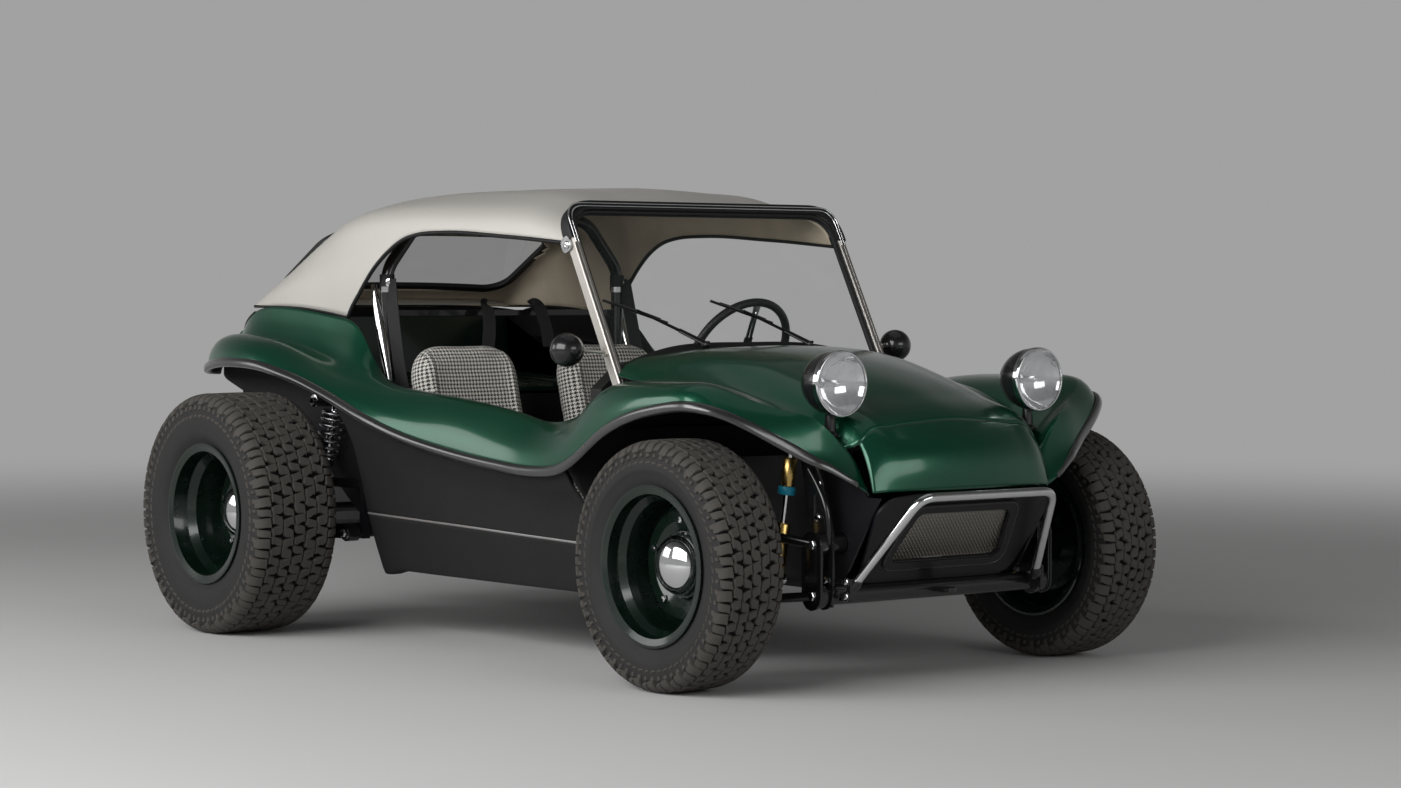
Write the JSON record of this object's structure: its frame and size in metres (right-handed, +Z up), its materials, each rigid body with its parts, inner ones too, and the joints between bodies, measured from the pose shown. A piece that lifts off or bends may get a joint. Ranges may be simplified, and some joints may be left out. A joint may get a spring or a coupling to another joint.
{
  "type": "dune buggy",
  "caption": "Open-sided beach buggy with a swooping moulded tub, exposed wide wheels, a raked windscreen, a removable hard top and lamps on stalks.",
  "frame": {"origin": "on the ground under the middle of the overall length, on the centre plane", "axes": "+X forward to the nose, +Y to the left side, +Z up"},
  "size_m": [3.202, 2.059, 1.407],
  "materials": {
    "paint_green": "gloss metallic paint",
    "trim_black": "satin rubber",
    "side_black": "satin paint",
    "frame_black": "gloss paint",
    "stainless": "polished",
    "wire": "brushed",
    "alloy": "brushed",
    "steel": "machined",
    "iron": "as cast",
    "pane": "clear",
    "dark_pane": "tinted",
    "top_silver": "satin metallic",
    "dash_black": "matt grained",
    "seat_cloth": "woven check",
    "lens": "fluted clear",
    "lamp_black": "gloss",
    "lamp_red": "gloss",
    "wheel_green": "gloss paint",
    "tyre_rubber": "matt",
    "gold": "anodised"
  },
  "bodies": {
    "chassis": {"tub_sides": "paint_green", "hood": "paint_green", "rear_deck": "paint_green", "edge_mouldings": "trim_black", "side_skirts": "side_black", "floor_pan": "side_black", "nose_panel": "side_black", "grille": "wire", "front_bumper": "stainless", "rear_bumper": "stainless", "windscreen_frame": "alloy", "window_panes": "pane", "hardtop": "top_silver", "dashboard": "dash_black", "roll_bar": "frame_black", "seat_bases": "seat_cloth", "seat_backs": "seat_cloth", "steering_column": "frame_black", "headlamp_bowls": "lamp_black", "headlamp_lenses": "lens", "mirrors": "lamp_black", "wipers": "dash_black", "front_beam": "frame_black", "steering_rack": "alloy", "front_arms": "frame_black", "front_dampers": "gold", "rear_arms": "frame_black", "rear_subframe": "frame_black", "rear_coilovers": "steel", "motor": "iron", "tail_lamps": "lamp_red"},
    "wheel_front_left": {"rim_front_left": "wheel_green", "tyre_front_left": "tyre_rubber"},
    "wheel_front_right": {"rim_front_right": "wheel_green", "tyre_front_right": "tyre_rubber"},
    "wheel_rear_left": {"axle_left": "steel", "rim_rear_left": "wheel_green", "tyre_rear_left": "tyre_rubber"},
    "wheel_rear_right": {"axle_right": "steel", "rim_rear_right": "wheel_green", "tyre_rear_right": "tyre_rubber"},
    "upright_left": {"knuckle_left": "iron"},
    "upright_right": {"knuckle_right": "iron"},
    "link_left": {"tie_rod_left": "steel"},
    "link_right": {"tie_rod_right": "steel"},
    "handwheel": {"steering_wheel": "dash_black"}
  },
  "joints": [
    {"name": "steer_left", "type": "hinge", "parent": "chassis", "child": "upright_left", "pos_m": [1.116, 0.585, 0.34], "axis": [0, 0, 1], "range_deg": [-28, 28]},
    {"name": "steer_right", "type": "hinge", "parent": "chassis", "child": "upright_right", "pos_m": [1.116, -0.585, 0.34], "axis": [0, 0, 1], "range_deg": [-28, 28]},
    {"name": "steering_wheel_turn", "type": "hinge", "parent": "chassis", "child": "handwheel", "pos_m": [0.16, 0.285, 0.895], "axis": [-0.864, 0, 0.5035], "range_deg": [-440, 440]},
    {"name": "tie_rod_pin_left", "type": "hinge", "parent": "upright_left", "child": "link_left", "pos_m": [0.99, 0.54, 0.324], "axis": [0, 0, 1], "range_deg": [-33, 33]},
    {"name": "tie_rod_pin_right", "type": "hinge", "parent": "upright_right", "child": "link_right", "pos_m": [0.99, -0.54, 0.324], "axis": [0, 0, 1], "range_deg": [-33, 33]},
    {"name": "roll_front_left", "type": "hinge", "parent": "upright_left", "child": "wheel_front_left", "pos_m": [1.116, 0.715, 0.343], "axis": [0, 1, 0], "continuous": true},
    {"name": "roll_front_right", "type": "hinge", "parent": "upright_right", "child": "wheel_front_right", "pos_m": [1.116, -0.715, 0.343], "axis": [0, 1, 0], "continuous": true},
    {"name": "roll_rear_left", "type": "hinge", "parent": "chassis", "child": "wheel_rear_left", "pos_m": [-0.916, 0.887, 0.379], "axis": [0, 1, 0], "continuous": true},
    {"name": "roll_rear_right", "type": "hinge", "parent": "chassis", "child": "wheel_rear_right", "pos_m": [-0.916, -0.887, 0.379], "axis": [0, 1, 0], "continuous": true}
  ],
  "couplings": [
    {"joint": "steer_right", "follows": "steer_left", "ratio": 1},
    {"joint": "steering_wheel_turn", "follows": "steer_left", "ratio": 15.6},
    {"joint": "tie_rod_pin_left", "follows": "steer_left", "ratio": -1.168},
    {"joint": "tie_rod_pin_right", "follows": "steer_left", "ratio": -1.168}
  ]
}
